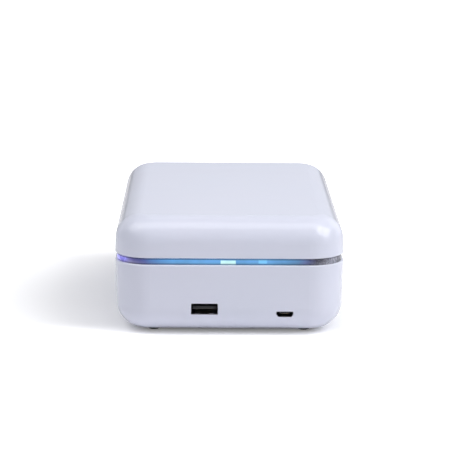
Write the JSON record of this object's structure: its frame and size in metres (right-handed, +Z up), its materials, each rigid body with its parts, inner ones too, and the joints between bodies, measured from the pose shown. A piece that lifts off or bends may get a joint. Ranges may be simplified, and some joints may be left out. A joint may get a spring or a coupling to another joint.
{
  "type": "phone sanitizer box",
  "caption": "Rounded clamshell box that lights a phone inside with ultraviolet bars; hinged lid, glowing seam band, start button and power sockets in one end.",
  "frame": {"origin": "on the plane the feet stand on, under the middle of the box", "axes": "+Z up, -Y out of the end with the sockets, -X out of the long side with the button, +X out of the long side with the hinge"},
  "size_m": [0.1104, 0.182, 0.0575],
  "materials": {
    "housing_plastic": "glossy pale lavender white",
    "band_acrylic": "clear moulded acrylic, satin inside",
    "mirror_lining": "vacuum-metallised, mirror-like",
    "window_glass": "clear quartz",
    "bar_board": "white solder mask",
    "circuit_board": "green solder mask",
    "led_body": "pale ceramic",
    "screw_steel": "zinc plated",
    "hinge_steel": "satin stainless",
    "socket_steel": "nickel plated",
    "magnet_nickel": "nickel plated",
    "dark_moulding": "satin black",
    "pale_moulding": "natural nylon",
    "foot_rubber": "matte black",
    "soft_silicone": "soft translucent grey"
  },
  "bodies": {
    "base": {"base_shell": "housing_plastic", "light_band": "band_acrylic", "base_liner": "mirror_lining", "base_window": "window_glass", "base_uv_bar": "bar_board", "power_board": "circuit_board", "button_board": "circuit_board", "glow_board": "circuit_board", "base_uv_leds": "led_body", "glow_leds": "led_body", "base_bar_screws": "screw_steel", "board_screws": "screw_steel", "case_screws": "screw_steel", "hinge_base_screws": "screw_steel", "hinge_base_leaf": "hinge_steel", "hinge_pin": "hinge_steel", "usb_a_shell": "socket_steel", "micro_usb_shell": "socket_steel", "base_magnets": "magnet_nickel", "usb_a_insert": "dark_moulding", "micro_usb_insert": "dark_moulding", "control_chip": "dark_moulding", "hall_sensor": "dark_moulding", "switch_body": "dark_moulding", "boost_coil": "dark_moulding", "wire_sockets": "pale_moulding", "foot_front_port": "foot_rubber", "foot_rear_port": "foot_rubber", "foot_front_far": "foot_rubber", "foot_rear_far": "foot_rubber", "left_support_rail": "soft_silicone", "right_support_rail": "soft_silicone"},
    "lid": {"lid_shell": "housing_plastic", "lid_liner": "mirror_lining", "lid_window": "window_glass", "lid_uv_bar": "bar_board", "lid_uv_leds": "led_body", "lid_bar_screws": "screw_steel", "lid_seal": "soft_silicone", "lid_magnets": "magnet_nickel", "lid_sensor_magnet": "magnet_nickel", "hinge_lid_leaf": "hinge_steel", "hinge_lid_screws": "screw_steel", "lid_screws": "screw_steel"},
    "button": {"start_button": "housing_plastic", "switch_stem": "pale_moulding"}
  },
  "joints": [
    {"name": "lid_hinge", "type": "hinge", "parent": "base", "child": "lid", "pos_m": [0.05375, 0, 0.03687], "axis": [0, 1, 0], "range_deg": [0, 95]},
    {"name": "start_press", "type": "slide", "parent": "base", "child": "button", "axis": [1, 0, 0], "range_m": [0, 0.0005], "stiffness_N_per_m": 2500, "springref_m": -0.0002}
  ]
}
